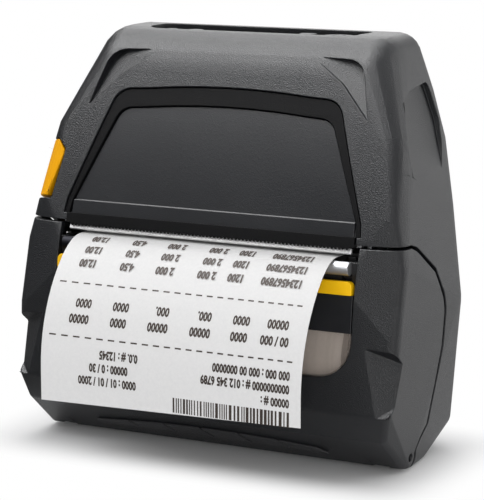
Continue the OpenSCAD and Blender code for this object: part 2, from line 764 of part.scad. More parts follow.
// Trough behind the media roll, with end plates that hold the discs' rail
module media_bay() color(black) {
  tub_half = 61.5;
  end_t = 1.5;
  difference() {
    union() {
      along_x(-tub_half, 2 * tub_half) intersection() {
        difference() {
          translate(roll) circle(r = tub_r, $fn = 96);
          translate(roll) circle(r = tub_in, $fn = 96);
        }
        translate([rail[0] + disc_foot + 1, 0]) square([far, 60]);
      }
      mirrored() along_x(tub_half - end_t, end_t) intersection() {
        translate(roll) circle(r = tub_r, $fn = 96);
        translate([-7, 0]) square([far, 60]);
      }
    }
    rod_x(rail, rail_r, -far, 2 * far);
  }
}
module disc_rail() color(steel) rod_x(rail, rail_r, -61.5, 123);

// Support disc with its hub in the core and its arm on the rail
disc_t = 2.2;
hub_l = 2.4;
disc_foot = rail_r + 1.8;
module disc() color(black) difference() {
  union() {
    rod_x(roll, disc_r, media_half + fit_gap, disc_t);
    rod_x(roll, core_r - core_wall - fit_gap, media_half + fit_gap - hub_l, hub_l + 0.5);
    along_x(media_half + fit_gap, disc_t) {
      arm = rail - roll;
      side = 4 * [arm[1], -arm[0]] / norm(arm);
      polygon([roll + side * 2, roll - side * 2, rail - side, rail + side]);
    }
    rod_x(rail, disc_foot, media_half + fit_gap, disc_t + 0.7);
  }
  rod_x(rail, rail_r + running, 0, far);
}
module disc_right() disc();
module disc_left() mirror([1, 0, 0]) disc();

module roll_core() color([0.66, 0.55, 0.42]) difference() {
  rod_x(roll, core_r, -media_half, media_w);
  rod_x(roll, core_r - core_wall, -far, 2 * far);
}
module paper_roll() color(paper_white) difference() {
  rod_x(roll, roll_r, -media_half, media_w);
  rod_x(roll, core_r, -far, 2 * far);
}

// The printed slip: out of the nip, over the bar, then down in three bends
slip_start = [platen[0], platen_z + platen_r + fit_gap];
slip_flat = 7.5;
slip_bends = [[14, 0, 30], [28, 30, 47], [58, 47, 90]];
slip_drop = 12;
function bend_end(p, b) = p + b[0] * [sin(b[1]) - sin(b[2]), cos(b[2]) - cos(b[1])];
function bend(p, b, grow, n) = [for (i = [0:n]) let (a = b[1] + (b[2] - b[1]) * i / n)
  p + b[0] * [sin(b[1]) - sin(a), cos(a) - cos(b[1])] + grow * [-sin(a), cos(a)]];
slip_a = slip_start - [slip_flat, 0];
slip_b = bend_end(slip_a, slip_bends[0]);
slip_c = bend_end(slip_b, slip_bends[1]);
slip_d = bend_end(slip_c, slip_bends[2]);
function slip_side(grow) = concat([slip_start + [0, grow]], bend(slip_a, slip_bends[0], grow, 6),
  bend(slip_b, slip_bends[1], grow, 5), bend(slip_c, slip_bends[2], grow, 10),
  [slip_d + [-grow, -slip_drop]]);
function backwards(p) = [for (i = [len(p) - 1:-1:0]) p[i]];
// The slip's lower end is torn off slightly aslant
slip_slant = 1.15;
module paper_strip() color(paper_white) difference() {
  along_x(-media_half, media_w) polygon(concat(slip_side(0), backwards(slip_side(paper_t))));
  translate([-media_half, 0, slip_d[1] - slip_drop]) rotate([0, -slip_slant, 0])
    translate([-far, -far, -far]) cube([2 * far, 2 * far, far]);
}

module media_sensor() color(board_green) {
  translate([-8, -21, 65]) cube([16, 5, 1.2]);
  translate([-3, -20, 66.2]) cube([6, 3, 0.9]);
}

// Control panel in the top recess, with its keys and display
key_clear = 0.3;
module control_panel() color(black) difference() {
  panel_room(-0.15, keypad_z + keypad_t, panel_z - keypad_z - keypad_t);
  translate([0, panel_y, 0]) {
    for (k = [[power_x, power_r], [feed_x, feed_r], [nav_x, nav_r]])
      translate([k[0], 0, 0]) cylinder(r = k[1] + key_clear, h = far, $fn = 48);
    for (s = [-1, 1]) translate([soft_x, s * soft_dy, 0]) linear_extrude(far)
      pill(soft_w + 2 * key_clear, soft_h + 2 * key_clear, 1.2);
    translate([lcd_x - lcd_w / 2, -lcd_h / 2, 0]) cube([lcd_w, lcd_h, far]);
  }
}
lens_t = 1;
module lcd_lens() color([0.16, 0.2, 0.22, 0.6])
  translate([lcd_x - lcd_w / 2 + 0.1, panel_y - lcd_h / 2 + 0.1, panel_z - lens_t])
    cube([lcd_w - 0.2, lcd_h - 0.2, lens_t]);
module lcd_module() color([0.45, 0.5, 0.42])
  translate([lcd_x - lcd_w / 2 + 0.2, panel_y - lcd_h / 2 + 0.2, keypad_z + keypad_t])
    cube([lcd_w - 0.4, lcd_h - 0.4, panel_z - lens_t - keypad_z - keypad_t]);
module keypad_board() color(board_green)
  translate([-panel_w / 2 - 1, panel_y - panel_d / 2, keypad_z]) cube([panel_w + 2, panel_d, keypad_t]);

// Keys start this far above the board, which leaves their travel
key_foot = keypad_z + keypad_t + key_travel + 0.15;
key_h = panel_z + key_proud - key_foot;
module round_key(x, r) translate([x, panel_y, key_foot]) {
  cylinder(r = r, h = key_h - 0.4, $fn = 48);
  cylinder(r = r - 0.4, h = key_h, $fn = 48);
}
module soft_key(side) color(graphite) translate([soft_x, panel_y + side * soft_dy, key_foot])
  linear_extrude(key_h) pill(soft_w, soft_h, 1);
module power_key() color(graphite) round_key(power_x, power_r);
module feed_key() color(graphite) round_key(feed_x, feed_r);
module soft_key_front() soft_key(-1);
module soft_key_back() soft_key(1);
module nav_key() color(graphite) difference() {
  round_key(nav_x, nav_r);
  translate([nav_x, panel_y, 0]) cylinder(r = select_r + key_clear, h = far, $fn = 48);
}
module select_key() color(graphite) round_key(nav_x, select_r);

module main_board() color(board_green) {
  translate([-49, board_y, bay_z - 23]) cube([98, board_t, 46]);
  for (c = [[-30, 8, 14, 14], [0, -6, 18, 12], [26, 10, 10, 8], [32, -12, 12, 7], [-34, -14, 20, 6]])
    translate([c[0] - c[2] / 2, board_y - 1.6, bay_z + c[1] - c[3] / 2]) cube([c[2], 1.6, c[3]]);
}

// Battery in its bay, with a notch for the contacts and a pocket for its catch
latch_z = bay_z + 14;
catch_w = 16;
catch_h = 6;
catch_t = 2.2;
catch_travel = 2;
pack_face = back_y - 0.5;
module battery_pack() color(black) difference() {
  translate([0, pack_face, bay_z]) rotate([90, 0, 0])
    linear_extrude(pack_face - bay_floor - fit_gap)
      pill(bay_w - 2 * fit_gap, bay_h - 2 * fit_gap, 2);
  translate([-21, bay_floor, bay_z - 19]) cube([42, 3.4, 8]);
  translate([-catch_w / 2 - fit_gap, pack_face - catch_t - fit_gap,
    latch_z - catch_h / 2 - catch_travel - fit_gap])
    cube([catch_w + 2 * fit_gap, 10, catch_h + catch_travel + 2 * fit_gap]);
}
module battery_latch() color(graphite) translate([-catch_w / 2, pack_face - catch_t, latch_z - catch_h / 2])
  difference() {
    cube([catch_w, catch_t, catch_h]);
    for (i = [1:3]) translate([-1, catch_t - 0.5, i * 1.5 - 0.35]) cube([catch_w + 2, 1, 0.7]);
  }
module battery_contacts() color(brass) for (i = [-1.5:1:1.5])
  translate([i * 10 - 1, bay_floor, bay_z - 18]) cube([2, 2.6, 6]);

module port_flap() color(black) {
  translate([port_x - port_w / 2 + fit_gap, back_y - port_recess + 0.1, flap_axis_z])
    cube([port_w - 2 * fit_gap, flap_t, port_z + port_h / 2 - fit_gap - flap_axis_z]);
  rod_x([back_y - port_recess + 0.1 + flap_t / 2, flap_axis_z], flap_t / 2,
    port_x - port_w / 2 + fit_gap, port_w - 2 * fit_gap);
}
module port_sockets() {
  color(board_green) translate([port_x - 18, 27.4, 12]) cube([36, 1.6, 10.5]);
  color(black) difference() {
    translate([jack_x - 4.5, 29, port_z - 4.5]) cube([9, 5.2, 9]);
    translate([jack_x, 29.6, port_z]) rotate([-90, 0, 0]) cylinder(r = jack_hole_r, h = 20, $fn = 32);
  }
  color(steel) difference() {
    translate([usb_x - 4.4, 29, port_z - 2]) cube([8.8, 5.8, 4]);
    translate([usb_x - 3.8, 30, port_z - 1.4]) cube([7.6, 20, 2.8]);
  }
}

module dock_contacts() color(brass) intersection() {
  dock_pads(0);
  translate([-far, -far, 0.4]) cube([2 * far, 2 * far, wall - 0.6]);
}

module case_screws() color(steel) for (s = screw_at)
  translate([s[0], back_y, s[1]]) rotate([-90, 0, 0]) difference() {
    union() {
      translate([0, 0, -screw_l]) cylinder(r = screw_r, h = screw_l, $fn = 32);
      translate([0, 0, -screw_head_t]) cylinder(r = screw_head_r, h = screw_head_t, $fn = 32);
    }
    translate([0, 0, -1]) linear_extrude(4) circle(r = 1.3, $fn = 6);
  }

module rubber_feet() color(black) difference() {
  mirrored() translate([foot_x - foot_w / 2, foot_y, 0]) cube([foot_w, foot_d, 7]);
  body_form();
}

front_case();
rear_case();
bezel();
name_plate();
tear_bar();
exit_strip();
mech_frame();
printhead();
heat_sink();
head_springs();
motor();
motor_plate();
motor_pinion();
idler_gear();
idler_post();
latch_shaft();
hook_left();
hook_right();
latch_lever();
latch_pin();
hinge_pin();
door_shell();
door_frame();
door_window();
door_label();
yellow_strip();
peel_bar();
bearing_left();
bearing_right();
platen_shaft();
platen_rubber();
platen_gear();
door_pads();
media_bay();
disc_rail();
disc_left();
disc_right();
roll_core();
paper_roll();
paper_strip();
media_sensor();
control_panel();
lcd_lens();
lcd_module();
keypad_board();
power_key();
feed_key();
soft_key_front();
soft_key_back();
nav_key();
select_key();
main_board();
battery_pack();
battery_latch();
battery_contacts();
port_flap();
port_sockets();
dock_contacts();
case_screws();
rubber_feet();
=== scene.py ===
import math

import bpy
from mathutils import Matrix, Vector


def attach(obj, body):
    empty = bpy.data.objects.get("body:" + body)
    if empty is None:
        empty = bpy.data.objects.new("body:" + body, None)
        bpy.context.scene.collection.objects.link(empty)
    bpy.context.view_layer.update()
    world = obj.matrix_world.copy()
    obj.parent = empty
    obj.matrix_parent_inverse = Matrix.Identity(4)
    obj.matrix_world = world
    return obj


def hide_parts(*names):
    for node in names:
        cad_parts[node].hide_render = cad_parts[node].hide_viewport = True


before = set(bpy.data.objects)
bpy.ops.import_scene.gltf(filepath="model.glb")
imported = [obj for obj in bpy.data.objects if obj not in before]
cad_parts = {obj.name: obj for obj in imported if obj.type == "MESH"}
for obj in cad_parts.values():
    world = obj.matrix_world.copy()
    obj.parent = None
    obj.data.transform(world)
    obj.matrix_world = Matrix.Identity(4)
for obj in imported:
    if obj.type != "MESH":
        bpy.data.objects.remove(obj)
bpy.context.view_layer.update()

scene = bpy.context.scene
scene.view_settings.view_transform = "Standard"

# The view: a long lens a little above the printer and well to its right.
# It looks down by ten degrees, so that the top recess shows as a thin dark band.
bpy.ops.object.select_all(action="DESELECT")
bpy.ops.object.camera_add(location=(0.38691, -0.72826, 0.22371))
camera = bpy.context.object
looked_at = Vector((0.00878, -0.012, 0.0771))
camera.rotation_euler = (looked_at - camera.location).to_track_quat("-Z", "Y").to_euler()
camera.data.lens = 158.92
camera.data.clip_start = 0.05
scene.camera = camera


# The room: a white sweep that keeps the printer's shadow near it. In reflections the room has a
# level of its own, bright at the right and above. All that lights the printer else is soft boxes.
def node(tree, kind, settings=(), **inputs):
    made = tree.nodes.new("ShaderNode" + kind)
    for key, value in dict(settings).items():
        setattr(made, key, value)
    for key, value in inputs.items():
        by_number = key[0] == "i" and key[1:].isdigit()
        socket = made.inputs[int(key[1:]) if by_number else key.replace("_", " ")]
        if isinstance(value, bpy.types.NodeSocket):
            tree.links.new(value, socket)
        else:
            socket.default_value = value
    return made


def calc(tree, operation, a, b=0.0, c=0.0):
    return node(tree, "Math", {"operation": operation, "use_clamp": False}, i0=a, i1=b, i2=c).outputs[0]


def dot(tree, a, b):
    return node(tree, "VectorMath", {"operation": "DOT_PRODUCT"}, i0=a, i1=b).outputs["Value"]


def eased(tree, value, start, end, low, high):
    return node(tree, "MapRange", {"interpolation_type": "SMOOTHSTEP"}, Value=value,
                From_Min=start, From_Max=end, To_Min=low, To_Max=high).outputs["Result"]


def object_place(tree):
    return node(tree, "TexCoord").outputs["Object"]


def seen_directly(tree):
    path = node(tree, "LightPath").outputs
    shiny = calc(tree, "MAXIMUM", path["Is Glossy Ray"], path["Is Transmission Ray"])
    return calc(tree, "MAXIMUM", path["Is Camera Ray"], shiny)


def room_level(tree, heading):
    towards_right, towards_key, off_left = (0.80, 0.60, 0.0), (-0.42, -0.22, 0.88), (1.0, 0.0, 0.35)
    side = eased(tree, dot(tree, heading, towards_right), -0.35, 0.75, 0.17, 0.72)
    above = eased(tree, node(tree, "SeparateXYZ", Vector=heading).outputs["Z"], 0.30, 0.90, 0.0, 0.35)
    glare = eased(tree, dot(tree, heading, towards_key), 0.745, 1.0, 0.0, 8.2)
    kept = eased(tree, dot(tree, heading, off_left), -0.42, -0.30, 0.05, 1.0)
    soft = calc(tree, "MAXIMUM", side, calc(tree, "MULTIPLY", above, kept))
    return calc(tree, "ADD", soft, calc(tree, "MULTIPLY", glare, kept))


bpy.ops.mesh.primitive_plane_add(size=8, location=(0, 0, 0))
floor = bpy.context.object
floor.name = "floor"
sweep = bpy.data.materials.new("white_sweep")
sweep.use_nodes = True
tree = sweep.node_tree
tree.nodes.remove(tree.nodes["Principled BSDF"])
place = object_place(tree)
half_foot, shadow_reach = (0.072, 0.030, 0.0), 0.032
mirrored = node(tree, "VectorMath", {"operation": "ABSOLUTE"}, i0=place).outputs[0]
past_foot = node(tree, "VectorMath", {"operation": "SUBTRACT"}, i0=mirrored, i1=half_foot).outputs[0]
outside = node(tree, "VectorMath", {"operation": "MAXIMUM"}, i0=past_foot, i1=(0, 0, 0)).outputs[0]
distance = node(tree, "VectorMath", {"operation": "LENGTH"}, i0=outside).outputs["Value"]
fade = eased(tree, distance, 0.0, shadow_reach, 0.0, 1.0)
heading = node(tree, "VectorMath", {"operation": "NORMALIZE"}, i0=place).outputs[0]
mirrored_room = room_level(tree, heading)
strength = calc(tree, "MAXIMUM", node(tree, "LightPath").outputs["Is Camera Ray"], mirrored_room)
cover = node(tree, "MixShader", i0=calc(tree, "MULTIPLY", seen_directly(tree), fade),
             i1=node(tree, "BsdfDiffuse", Color=(0.88, 0.88, 0.885, 1)).outputs[0],
             i2=node(tree, "Emission", Color=(1, 1, 1, 1), Strength=strength).outputs[0])
tree.links.new(cover.outputs[0], tree.nodes["Material Output"].inputs["Surface"])
floor.data.materials.append(sweep)

world = bpy.data.worlds.new("studio")
world.use_nodes = True
scene.world = world
tree = world.node_tree
path = node(tree, "LightPath").outputs
bright = room_level(tree, node(tree, "TexCoord").outputs["Generated"])
sky_light = 0.55
unlit = calc(tree, "SUBTRACT", 1.0, seen_directly(tree))
only_mirrored = calc(tree, "SUBTRACT", seen_directly(tree), path["Is Camera Ray"])
level = calc(tree, "ADD", calc(tree, "MULTIPLY", unlit, sky_light),
             calc(tree, "ADD", path["Is Camera Ray"], calc(tree, "MULTIPLY", only_mirrored, bright)))
tree.links.new(level, tree.nodes["Background"].inputs["Strength"])
tree.nodes["Background"].inputs["Color"].default_value = (1, 1, 1, 1)


def soft_box(name, place, aim, width, height, watts):
    bpy.ops.object.light_add(type="AREA", location=place)
    lamp = bpy.context.object
    lamp.name = name
    lamp.rotation_euler = (Vector(aim) - Vector(place)).to_track_quat("-Z", "Y").to_euler()
    lamp.data.shape = "RECTANGLE"
    lamp.data.size, lamp.data.size_y, lamp.data.energy = width, height, watts


soft_box("key_box", (-0.40, -0.30, 0.76), (0, 0, 0.08), 0.6, 0.5, 2.1)
soft_box("low_box", (0.42, -0.80, 0.16), (0.01, -0.03, 0.05), 0.4, 0.3, 2.0)
soft_box("top_box", (-0.10, 0.10, 0.90), (0, 0, 0.10), 0.8, 0.6, 0.9)
soft_box("back_box", (-0.30, 0.65, 0.60), (0, 0, 0.12), 0.6, 0.5, 2.5)
soft_box("right_box", (0.80, 0.62, 0.40), (0, 0, 0.08), 0.7, 0.8, 3.5)

# Front case: the upper half of the shell, moulded in charcoal ABS with a coarse spark-eroded grain.
# Its sharp edges have the small radius of the mould, and it is screwed to the back from behind.
# The leaning front is slightly crowned: it swells most near the middle of its height.
lean = math.radians(19.5)
up_front = Vector((0, math.sin(lean), math.cos(lean)))
out_front = Vector((0, -math.cos(lean), math.sin(lean)))
foot_of_front = Vector((0, -0.0215, 0.092))


def swell(piece, most=0.0013, middle=0.027, reach=0.0345, depth=0.014):
    bpy.ops.object.mode_set(mode="EDIT")
    for cut in range(-5, 6):
        height = middle + cut * reach / 5.5
        bpy.ops.mesh.select_all(action="SELECT")
        bpy.ops.mesh.bisect(plane_co=foot_of_front + up_front * height, plane_no=up_front)
    bpy.ops.object.mode_set(mode="OBJECT")
    for v in piece.data.vertices:
        from_foot = v.co - foot_of_front
        along, out = from_foot.dot(up_front), from_foot.dot(out_front)
        crown = max(0.0, 1 - ((along - middle) / reach) ** 2)
        v.co += out_front * most * crown * min(1.0, max(0.0, 1 + out / depth))


def cast(source, name, body, material, edge=0.0003, sharp=24, steps=2, crowned=False, smooth=38):
    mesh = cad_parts[source].data.copy()
    piece = bpy.data.objects.new(name, mesh)
    scene.collection.objects.link(piece)
    bpy.ops.object.select_all(action="DESELECT")
    bpy.context.view_layer.objects.active = piece
    piece.select_set(True)
    bpy.ops.object.mode_set(mode="EDIT")
    bpy.ops.mesh.select_all(action="SELECT")
    bpy.ops.mesh.remove_doubles(threshold=0.00001)
    bpy.ops.mesh.dissolve_limited(angle_limit=math.radians(0.4))
    bpy.ops.object.mode_set(mode="OBJECT")
    if edge:
        bpy.ops.object.modifier_add(type="BEVEL")
        rounding = piece.modifiers[-1]
        rounding.width, rounding.segments = edge, steps
        rounding.limit_method, rounding.angle_limit = "ANGLE", math.radians(sharp)
        rounding.use_clamp_overlap = False
        rounding.miter_outer = "MITER_ARC"
        bpy.ops.object.modifier_apply(modifier=rounding.name)
    if crowned:
        swell(piece)
    bpy.ops.object.shade_smooth_by_angle(angle=math.radians(smooth))
    bpy.ops.object.modifier_add(type="WEIGHTED_NORMAL")
    piece.modifiers[-1].keep_sharp = True
    bpy.ops.object.modifier_apply(modifier=piece.modifiers[-1].name)
    finish_piece(piece, body, material)
    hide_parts(source)


def finish_piece(piece, body, material):
    piece.data.materials.clear()
    piece.data.materials.append(material)
    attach(piece, body)


grain = bpy.data.node_groups.new("moulded_grain", "ShaderNodeTree")
for label, value in (("Scale", 2000.0), ("Depth", 0.3), ("Unevenness", 0.1)):
    grain.interface.new_socket(label, in_out="INPUT", socket_type="NodeSocketFloat").default_value = value
for label, kind in (("Tone", "Float"), ("Sheen", "Float"), ("Normal", "Vector")):
    grain.interface.new_socket(label, in_out="OUTPUT", socket_type="NodeSocket" + kind)
ins, outs = grain.nodes.new("NodeGroupInput"), grain.nodes.new("NodeGroupOutput")
place = object_place(grain)
pits = node(grain, "TexVoronoi", {"feature": "SMOOTH_F1"}, Vector=place, Scale=ins.outputs["Scale"],
            Smoothness=0.6).outputs["Distance"]
fine_scale = calc(grain, "MULTIPLY", ins.outputs["Scale"], 0.7)
fine = node(grain, "TexNoise", Vector=place, Scale=fine_scale, Detail=3.0, Roughness=0.6).outputs["Fac"]
broad = node(grain, "TexNoise", Vector=place, Scale=35.0, Detail=2.0).outputs["Fac"]
height = calc(grain, "ADD", calc(grain, "MULTIPLY", pits, 0.8), calc(grain, "MULTIPLY", fine, 0.9))
bump = node(grain, "Bump", Strength=ins.outputs["Depth"], Distance=0.0008, Height=height)
grain.links.new(bump.outputs[0], outs.inputs["Normal"])
tone = calc(grain, "ADD", calc(grain, "MULTIPLY", fine, 0.6), calc(grain, "MULTIPLY", broad, 0.4))
swing = calc(grain, "MULTIPLY", calc(grain, "SUBTRACT", tone, 0.5), ins.outputs["Unevenness"])
grain.links.new(calc(grain, "ADD", swing, 0.5), outs.inputs["Tone"])
grain.links.new(calc(grain, "SUBTRACT", broad, 0.5), outs.inputs["Sheen"])


def moulding(name, dark, light, rough, scale, depth, uneven=1.0, gloss=0.5):
    material = bpy.data.materials.new(name)
    material.use_nodes = True
    tree = material.node_tree
    shader = tree.nodes["Principled BSDF"]
    surface = tree.nodes.new("ShaderNodeGroup")
    surface.node_tree = grain
    surface.inputs["Scale"].default_value = scale
    surface.inputs["Depth"].default_value = depth
    surface.inputs["Unevenness"].default_value = uneven
    colour = node(tree, "MixRGB", Fac=surface.outputs["Tone"], Color1=(*dark, 1), Color2=(*light, 1))
    tree.links.new(colour.outputs[0], shader.inputs["Base Color"])
    patches = calc(tree, "MULTIPLY", surface.outputs["Sheen"], 0.12)
    tree.links.new(calc(tree, "ADD", patches, rough), shader.inputs["Roughness"])
    tree.links.new(surface.outputs["Normal"], shader.inputs["Normal"])
    shader.inputs["Specular IOR Level"].default_value = gloss
    return material


case_plastic = moulding("case_plastic", (0.004, 0.0045, 0.0055), (0.014, 0.015, 0.018), 0.35, 3200, 0.26, 1.6)
cast("front_case", "front_shell", "printer", case_plastic, edge=0.00035, crowned=True)

# Back of the case: the same plastic with a finer grain, so it looks smoother, and painted a lighter grey
# that stands in for the paler light on the back. It carries the battery bay, the port recess and the belt
# clip's socket, all moulded in.
back_plastic = moulding("back_plastic", (0.010, 0.010, 0.0115), (0.020, 0.020, 0.0225), 0.40, 3000, 0.12, 0.8)
cast("rear_case", "rear_shell", "printer", back_plastic, edge=0.0003)

# Tray and name plate of the leaning front: the tray is dark and smooth, clipped into the opening,
# and the plate on it has a satin film under which nothing is printed. Its raised rim catches the light.
tray_plastic = moulding("tray_plastic", (0.002, 0.002, 0.0025), (0.005, 0.005, 0.0055), 0.55, 3600, 0.10, 0.7,
                        gloss=0.12)
cast("bezel", "plate_tray", "printer", tray_plastic, edge=0.00025, crowned=True)
plate_film = moulding("plate_film", (0.007, 0.0075, 0.009), (0.012, 0.013, 0.016), 0.33, 2600, 0.07, 0.8)
cast("name_plate", "front_plate", "printer", plate_film, edge=0.0003, steps=5, crowned=True,
     smooth=22)

# Tear bar and the strip under it: a black bar with sharp moulded teeth, and a bright steel strip
# that the slip passes under.
tear_plastic = moulding("tear_plastic", (0.0015, 0.0015, 0.0018), (0.003, 0.003, 0.0035), 0.42, 3600, 0.06,
                        0.7, gloss=0.10)
cast("tear_bar", "toothed_bar", "printer", tear_plastic, edge=0.00012)


def metal(name, colour, rough, scratch=0.08):
    material = bpy.data.materials.new(name)
    material.use_nodes = True
    tree = material.node_tree
    shader = tree.nodes["Principled BSDF"]
    brushed_along_x = (25.0, 1800.0, 1800.0)
    place = node(tree, "Mapping", Vector=object_place(tree), Scale=brushed_along_x).outputs[0]
    lines = node(tree, "TexNoise", Vector=place, Scale=1.0, Detail=3.0).outputs["Fac"]
    haze = node(tree, "TexNoise", Vector=object_place(tree), Scale=60.0, Detail=3.0).outputs["Fac"]
    dulled = [c * 0.86 for c in colour]
    tint = node(tree, "MixRGB", Fac=haze, Color1=(*dulled, 1), Color2=(*colour, 1))
    tree.links.new(tint.outputs[0], shader.inputs["Base Color"])
    swing = 0.16
    uneven = calc(tree, "ADD", calc(tree, "MULTIPLY", lines, swing), rough - swing / 2)
    tree.links.new(uneven, shader.inputs["Roughness"])
    scratches = node(tree, "Bump", Strength=scratch, Distance=0.0002, Height=lines)
    tree.links.new(scratches.outputs[0], shader.inputs["Normal"])
    shader.inputs["Metallic"].default_value = 1.0
    return material


bright_steel = metal("bright_steel", (0.74, 0.75, 0.76), 0.26)
brushed_strip = metal("brushed_strip", (0.90, 0.90, 0.90), 0.52, scratch=0.04)
cast("exit_strip", "steel_strip", "printer", brushed_strip, edge=0.0004, steps=4)

# Frame of the mechanism: zinc-plated sheet, punched and folded, that holds the head, the shafts
# and the motor. The two leaf springs are blued steel.
zinc_sheet = metal("zinc_sheet", (0.56, 0.57, 0.58), 0.38)
cast("mech_frame", "mechanism_frame", "printer", zinc_sheet, edge=0.0002)
cast("motor_plate", "motor_bracket", "printer", zinc_sheet, edge=0.0002)
spring_steel = metal("spring_steel", (0.30, 0.31, 0.34), 0.3)
cast("head_springs", "leaf_springs", "printer", spring_steel, edge=0.0001)
cast("motor", "step_motor", "printer", zinc_sheet, edge=0.0004)

# Print head: a white ceramic strip with the heating line, screwed under a finned aluminium heat sink.
# The pair tilts on two pins so that the head can follow the media.
glazed = moulding("glazed_ceramic", (0.52, 0.51, 0.47), (0.62, 0.61, 0.57), 0.2, 900, 0.02, 0.5)
cast("printhead", "thermal_head", "head", glazed, edge=0.00015)
sink_metal = metal("sink_aluminium", (0.66, 0.67, 0.68), 0.34)
cast("heat_sink", "head_sink", "head", sink_metal, edge=0.00015)

# Gear train on the right: brass pinion, black acetal idler on a steel post, acetal gear on the platen.
acetal = moulding("acetal", (0.012, 0.012, 0.013), (0.022, 0.022, 0.024), 0.36, 1500, 0.04, 0.6)
brass = metal("brass", (0.80, 0.56, 0.25), 0.3)
cast("motor_pinion", "pinion", "pinion", brass, edge=0.0001)
cast("idler_gear", "idler", "idler", acetal, edge=0.0001)
cast("platen_gear", "roller_gear", "platen", acetal, edge=0.0001)
cast("idler_post", "idler_pin", "printer", bright_steel, edge=0.0002)

# Door latch: a steel shaft with a hook at each end, and the yellow release lever in the left
# front corner of the case, which turns on a steel pin.
cast("latch_shaft", "hook_shaft", "latch_hooks", bright_steel, edge=0.0002)
blackened = metal("blackened_steel", (0.045, 0.045, 0.05), 0.42)
cast("hook_left", "left_hook", "latch_hooks", blackened, edge=0.0002)
cast("hook_right", "right_hook", "latch_hooks", blackened, edge=0.0002)
yellow_plastic = moulding("yellow_plastic", (0.78, 0.345, 0.0), (0.86, 0.395, 0.0), 0.48, 2600, 0.08, 0.6,
                          gloss=0.15)
cast("latch_lever", "release_lever", "lever", yellow_plastic, edge=0.0004, crowned=True)
cast("latch_pin", "lever_pin", "printer", bright_steel, edge=0.0002)

# Media door: the lower half of the shell, hung on a pin at its foot, with a finger grip cut into
# each front edge and a row of soft slanted ribs along its chin.
cast("door_shell", "media_door", "door", case_plastic, edge=0.0004)
cast("hinge_pin", "door_pin", "printer", bright_steel, edge=0.0003)
soft_rubber = moulding("soft_rubber", (0.020, 0.020, 0.022), (0.034, 0.034, 0.037), 0.50, 1800, 0.2, 1.0)
cast("door_pads", "chin_ribs", "door", soft_rubber, edge=0.0003)

# Inside the door: the black frame that carries the platen's bearings, the yellow strip over its edge,
# the dark label panel under it, the smoked window with its painted light, and the bright bar that the slip
# turns over.
inner_plastic = moulding("inner_plastic", (0.006, 0.006, 0.007), (0.013, 0.013, 0.0145), 0.45, 2600, 0.12,
                         0.8)
cast("door_frame", "platen_frame", "door", inner_plastic, edge=0.0003)
strip_yellow = moulding("strip_yellow", (0.93, 0.52, 0.0), (0.98, 0.57, 0.0), 0.48, 2600, 0.05, 0.6,
                        gloss=0.3)
cast("yellow_strip", "yellow_edge", "door", strip_yellow, edge=0.00035)
cast("door_label", "label_panel", "door", plate_film, edge=0.0002)
satin_bar = metal("satin_bar", (0.62, 0.63, 0.65), 0.55, scratch=0.04)
tree = satin_bar.node_tree
steel = tree.nodes["Principled BSDF"].inputs["Base Color"].links[0].from_socket
sleeve_end = -0.052
across = node(tree, "SeparateXYZ", Vector=object_place(tree)).outputs["X"]
past_sleeve = calc(tree, "GREATER_THAN", across, sleeve_end)
end_sleeve = node(tree, "MixRGB", Fac=past_sleeve, Color1=(0.02, 0.02, 0.024, 1), Color2=steel)
tree.links.new(end_sleeve.outputs[0], tree.nodes["Principled BSDF"].inputs["Base Color"])
cast("peel_bar", "turning_bar", "door", satin_bar, edge=0.0002)
cast("bearing_left", "left_bearing", "door", brass, edge=0.0002)
cast("bearing_right", "right_bearing", "door", brass, edge=0.0002)
cast("media_sensor", "gap_sensor", "door", inner_plastic, edge=0.0001)

smoked_pane_painted_light = bpy.data.materials.new("smoked_window_painted_light")
smoked_pane_painted_light.use_nodes = True
tree = smoked_pane_painted_light.node_tree
pane = tree.nodes["Principled BSDF"]
# Painted light: the pane's pale brown haze stands in for the light on the roll behind it; the smoked tint
# itself is real.
ripple = node(tree, "TexNoise", Vector=object_place(tree), Scale=40.0, Detail=2.0).outputs["Fac"]
haze = node(tree, "MixRGB", Fac=ripple, Color1=(0.52, 0.43, 0.375, 1), Color2=(0.66, 0.565, 0.50, 1))
tree.links.new(haze.outputs[0], pane.inputs["Base Color"])
tree.links.new(calc(tree, "ADD", calc(tree, "MULTIPLY", ripple, 0.10), 0.10), pane.inputs["Alpha"])
waves = node(tree, "Bump", Strength=0.04, Distance=0.0006, Height=ripple)
tree.links.new(waves.outputs[0], pane.inputs["Normal"])
pane.inputs["Roughness"].default_value = 0.12
cast("door_window", "media_window", "door", smoked_pane_painted_light, edge=0.0002)

# Platen: a steel shaft with a ground rubber sleeve that draws the media past the head.
ground_rubber = moulding("ground_rubber", (0.010, 0.010, 0.010), (0.026, 0.026, 0.027), 0.55, 1500, 0.25, 1.0)
cast("platen_shaft", "roller_shaft", "platen", bright_steel, edge=0.0003)
cast("platen_rubber", "roller_sleeve", "platen", ground_rubber, edge=0.0003)

# Media bay: a black trough behind the roll, with two discs that hold the roll between them and
# slide apart on a steel rail.
cast("media_bay", "roll_trough", "printer", inner_plastic, edge=0.0002)
cast("disc_rail", "disc_rod", "printer", bright_steel, edge=0.0002)
cast("disc_left", "left_disc", "disc_l", inner_plastic, edge=0.0003)
cast("disc_right", "right_disc", "disc_r", inner_plastic, edge=0.0003)


